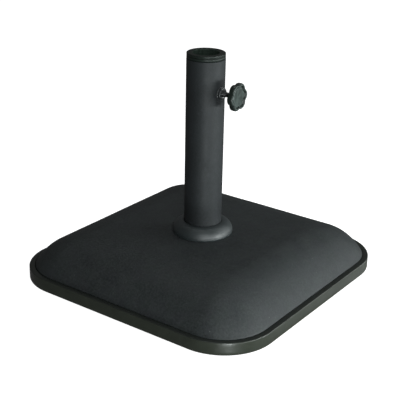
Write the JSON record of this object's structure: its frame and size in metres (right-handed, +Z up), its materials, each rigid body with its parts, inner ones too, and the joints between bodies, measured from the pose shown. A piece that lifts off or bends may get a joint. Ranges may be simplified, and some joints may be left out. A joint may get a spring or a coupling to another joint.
{
  "type": "parasol base",
  "caption": "Square concrete parasol base with rounded corners, an upright steel stem with a pole socket, and a hand-knob clamp screw.",
  "frame": {"origin": "on the floor under the stem's axis, at the bottom centre of the base", "axes": "+Z up along the stem and the pole's axis; +X along the clamp screw, out of the stem towards its knob; +Y completes a right-handed frame"},
  "size_m": [0.45, 0.45, 0.3665],
  "materials": {
    "concrete": "matt black dyed cast concrete",
    "wire_steel": "drawn steel wire",
    "band_plastic": "satin black",
    "foot_rubber": "matt",
    "zinc_steel": "zinc plated",
    "stem_paint": "dark grey powder coat",
    "ring_plastic": "semi-gloss black",
    "insert_plastic": "satin black",
    "guide_plastic": "matt black",
    "stud_steel": "black oxide",
    "pad_plastic": "matt",
    "knob_plastic": "semi-gloss black"
  },
  "bodies": {
    "stand": {"concrete_slab": "concrete", "reinforcement_ring": "wire_steel", "edge_band": "band_plastic", "foot_front_left": "foot_rubber", "foot_front_right": "foot_rubber", "foot_back_left": "foot_rubber", "foot_back_right": "foot_rubber", "threaded_anchors": "zinc_steel", "foot_plate": "stem_paint", "foot_bolts": "zinc_steel", "foot_washers": "zinc_steel", "stem_tube": "stem_paint", "top_insert": "insert_plastic", "lower_pole_guide": "guide_plastic", "clamp_boss": "stem_paint"},
    "ring": {"cover_ring": "ring_plastic"},
    "clamp_tip": {"pressure_pad": "pad_plastic"},
    "clamp_screw": {"clamp_stud": "stud_steel", "hand_knob": "knob_plastic"}
  },
  "joints": [
    {"name": "ring_lift", "type": "slide", "parent": "stand", "child": "ring", "axis": [0, 0, 1], "range_m": [0, 0.2]},
    {"name": "clamp_travel", "type": "slide", "parent": "stand", "child": "clamp_tip", "axis": [-1, 0, 0], "range_m": [0, 0.0125]},
    {"name": "clamp_turn", "type": "hinge", "parent": "clamp_tip", "child": "clamp_screw", "pos_m": [0.05, 0, 0.3065], "axis": [-1, 0, 0], "range_deg": [0, 3600]}
  ],
  "couplings": [
    {"joint": "clamp_travel", "follows": "clamp_turn", "m_per_rad": 0.00019894}
  ]
}
